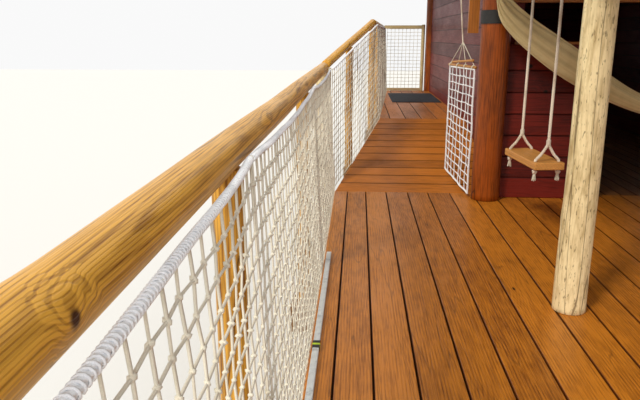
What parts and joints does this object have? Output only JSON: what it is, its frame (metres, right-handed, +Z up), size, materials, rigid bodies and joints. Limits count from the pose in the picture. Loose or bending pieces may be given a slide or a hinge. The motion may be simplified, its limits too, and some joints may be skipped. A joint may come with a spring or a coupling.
{
  "type": "tree house",
  "caption": "Log tree house on stilts: hollow cabin, covered terrace, open strip with a rope net balustrade, ramp to a side landing, hammock and board swing.",
  "frame": {"origin": "centre of the object's box in plan, on the ground under the stilts", "axes": "+X across the house from the open strip to the covered terrace, +Y from the terrace to the cabin's back, +Z up"},
  "size_m": [5.62, 14.15, 5.9719],
  "materials": {
    "deck": "glossy red-brown oiled boards",
    "ramp": "orange-brown oiled boards",
    "log_honey": "varnished peeled log",
    "log_pale": "rough pale weathered log",
    "log_dark": "dark red-brown varnished log",
    "beam": "varnished beam",
    "frame": "rough framing timber",
    "siding": "dark red stained siding",
    "roof": "brown roof boards",
    "seat": "light pine",
    "rope": "off-white twisted rope",
    "cloth": "cream canvas",
    "mat": "dark woven mat",
    "trunking": "matt grey strip",
    "iron": "black iron"
  },
  "bodies": {
    "house": {"stilts": "frame", "stilt_braces": "frame", "bearers": "frame", "joists": "frame", "rim_boards": "deck", "ramp_boards": "frame", "terrace_deck": "deck", "cabin_floor": "deck", "ramp_deck": "ramp", "landing_deck": "deck", "landing_mat": "mat", "edge_trunking": "trunking", "handrail_terrace": "log_honey", "handrail_slope": "log_honey", "handrail_right": "log_honey", "rail_posts": "log_honey", "corner_post": "log_pale", "terrace_net": "rope", "right_net": "rope", "front_net": "rope", "ramp_net": "rope", "landing_net": "rope", "landing_end_frame": "log_pale", "log_post": "log_pale", "porch_posts": "log_pale", "dark_posts": "log_dark", "eaves_beams": "beam", "cross_beams": "beam", "swing_beam": "beam", "front_wall_left": "siding", "front_wall_right": "siding", "front_gable": "siding", "back_wall": "siding", "left_wall": "siding", "right_wall": "siding", "rafters": "frame", "ridge_beam": "frame", "roof_left": "roof", "roof_right": "roof", "swing_hangers": "iron", "hammock": "cloth", "hammock_cords": "rope", "post_straps": "iron", "eaves_boards": "beam", "side_net": "rope", "side_net_sticks": "seat", "side_net_cords": "rope"},
    "swing": {"swing_ropes": "rope", "swing_seat": "seat"}
  },
  "joints": [
    {"name": "swing_hinge", "type": "hinge", "parent": "house", "child": "swing", "pos_m": [-1.01, -1.1, 4.662], "axis": [-0.1115, 0.9938, 0], "range_deg": [-35, 35]}
  ]
}
